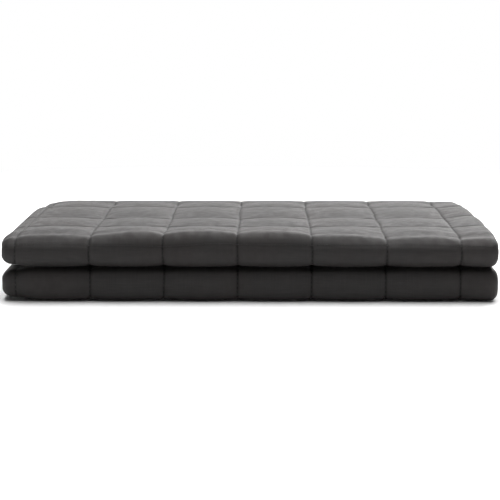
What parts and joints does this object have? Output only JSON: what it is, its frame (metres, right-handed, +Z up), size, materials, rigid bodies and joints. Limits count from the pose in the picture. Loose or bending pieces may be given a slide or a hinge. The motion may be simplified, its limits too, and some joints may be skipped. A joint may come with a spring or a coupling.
{
  "type": "folded weighted blanket",
  "caption": "Charcoal quilted weighted blanket, doubled across its width and folded in four for a shelf.",
  "frame": {"origin": "centre of the bounding box, on the surface that the folded blanket lies on", "axes": "+Z up, +X to the right along the front bends towards the width fold, +Y to the back towards the spine of the fold"},
  "size_m": [0.7566, 0.5438, 0.1049],
  "materials": {
    "cloth": "matte"
  },
  "bodies": {
    "root": {"blanket": "cloth"}
  },
  "joints": []
}
